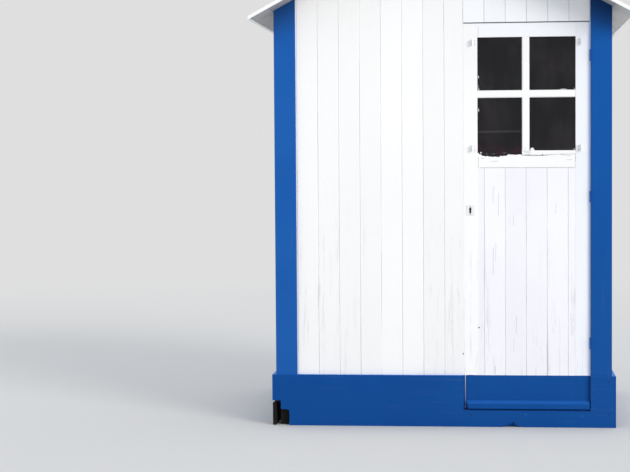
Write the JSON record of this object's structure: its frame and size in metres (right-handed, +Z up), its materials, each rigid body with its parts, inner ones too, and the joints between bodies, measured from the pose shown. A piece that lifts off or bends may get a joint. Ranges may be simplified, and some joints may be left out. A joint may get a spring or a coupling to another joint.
{
  "type": "beach hut",
  "caption": "Small gabled wooden beach hut with boarded walls, planted corner boards, a plinth and a part-glazed door that opens outwards.",
  "frame": {"origin": "on the ground, in the middle of the plan, under the ridge", "axes": "+Z up; the front with the door looks towards -Y; +X to the right as one faces the front"},
  "size_m": [1.89, 1.765, 2.5604],
  "materials": {
    "white_paint": "satin paint, worn",
    "blue_paint": "satin paint",
    "bare_wood": "sawn",
    "grey_wood": "matt paint",
    "roof_felt": "mineral felt",
    "painted_steel": "satin paint",
    "lock_iron": "japanned",
    "glass": "clear, dusty"
  },
  "bodies": {
    "hut": {"floor_bearers": "bare_wood", "floor_boards": "bare_wood", "door_sill": "bare_wood", "front_wall_left": "white_paint", "front_wall_right": "white_paint", "front_wall_over_door": "white_paint", "side_wall_left": "white_paint", "side_wall_right": "white_paint", "back_wall": "white_paint", "corner_board_front_left": "blue_paint", "corner_board_front_right": "blue_paint", "corner_boards_back": "blue_paint", "plinth_front": "blue_paint", "plinth_left": "blue_paint", "plinth_right": "blue_paint", "plinth_back": "blue_paint", "wall_posts": "bare_wood", "wall_rails": "bare_wood", "wall_plates": "bare_wood", "door_posts": "white_paint", "door_head": "white_paint", "door_stop": "white_paint", "rafters": "bare_wood", "ridge_beam": "bare_wood", "roof_deck_left": "grey_wood", "roof_deck_right": "grey_wood", "roof_felt_left": "roof_felt", "roof_felt_right": "roof_felt", "ridge_cap": "roof_felt", "eave_trims": "white_paint", "verge_trim_front": "white_paint", "verge_trim_back": "white_paint", "door_hinges_fixed": "painted_steel"},
    "door": {"door_stile_lock": "white_paint", "door_stile_hinge": "white_paint", "door_top_rail": "white_paint", "door_mid_rail": "white_paint", "door_bottom_rail": "blue_paint", "door_boards": "white_paint", "glazing_bars": "white_paint", "window_panes": "glass", "weather_bar": "blue_paint", "key_plate": "painted_steel", "door_lock": "lock_iron", "shutter_clips": "painted_steel", "door_hinges_moving": "painted_steel"}
  },
  "joints": [
    {"name": "door_hinge", "type": "hinge", "parent": "hut", "child": "door", "pos_m": [0.7325, -0.7055, 1.15], "axis": [0, 0, 1], "range_deg": [0, 100]}
  ]
}
